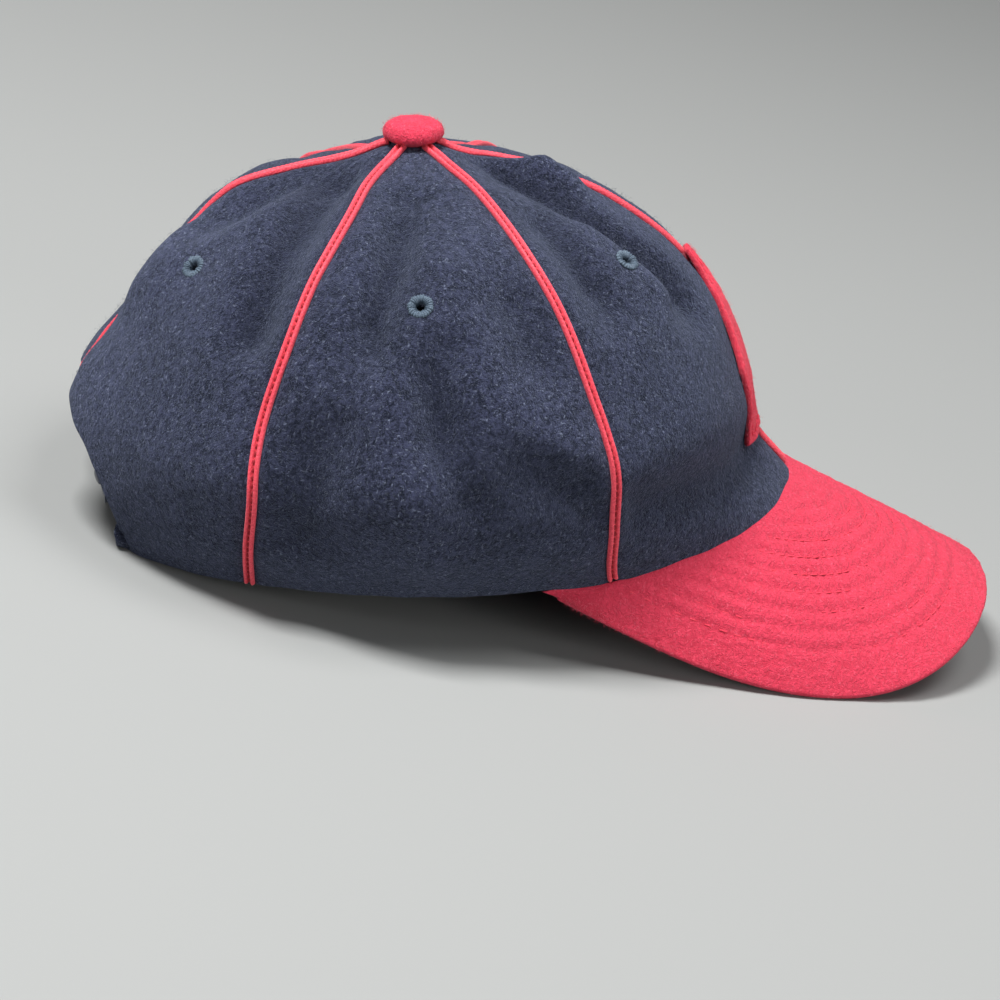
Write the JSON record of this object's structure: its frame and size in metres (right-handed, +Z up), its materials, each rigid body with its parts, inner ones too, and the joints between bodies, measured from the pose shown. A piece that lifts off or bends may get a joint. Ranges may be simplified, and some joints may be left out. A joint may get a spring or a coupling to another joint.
{
  "type": "snapback cap",
  "caption": "Round wool ball cap with a bent stitched bill, braided panel seams, covered top button, vent eyelets, plain felt patch and a snapped plastic strap across an arched back opening.",
  "frame": {"origin": "middle of the underside of the resting cap, on the surface it rests on", "axes": "+Z up from the surface, -Y towards the bill, -X towards the wearer's right"},
  "size_m": [0.1736, 0.2648, 0.121],
  "materials": {
    "navy_wool": "brushed melton wool with a soft nap",
    "red_wool": "brushed melton wool with a soft nap",
    "red_felt": "pressed felt",
    "red_braid": "woven braid with a slight sheen",
    "blue_thread": "satin stitched thread",
    "navy_plastic": "moulded, satin"
  },
  "bodies": {
    "root": {"panel_front_right": "navy_wool", "panel_front_left": "navy_wool", "panel_side_right": "navy_wool", "panel_side_left": "navy_wool", "panel_back_right": "navy_wool", "panel_back_left": "navy_wool", "tape_front": "red_braid", "tape_front_right": "red_braid", "tape_front_left": "red_braid", "tape_back_right": "red_braid", "tape_back_left": "red_braid", "tape_back": "red_braid", "eyelet_front_right": "blue_thread", "eyelet_front_left": "blue_thread", "eyelet_side_right": "blue_thread", "eyelet_side_left": "blue_thread", "eyelet_back_right": "blue_thread", "eyelet_back_left": "blue_thread", "button": "red_wool", "bill": "red_wool", "front_patch": "red_felt", "strap_holes": "navy_plastic", "strap_pegs": "navy_plastic"}
  },
  "joints": []
}
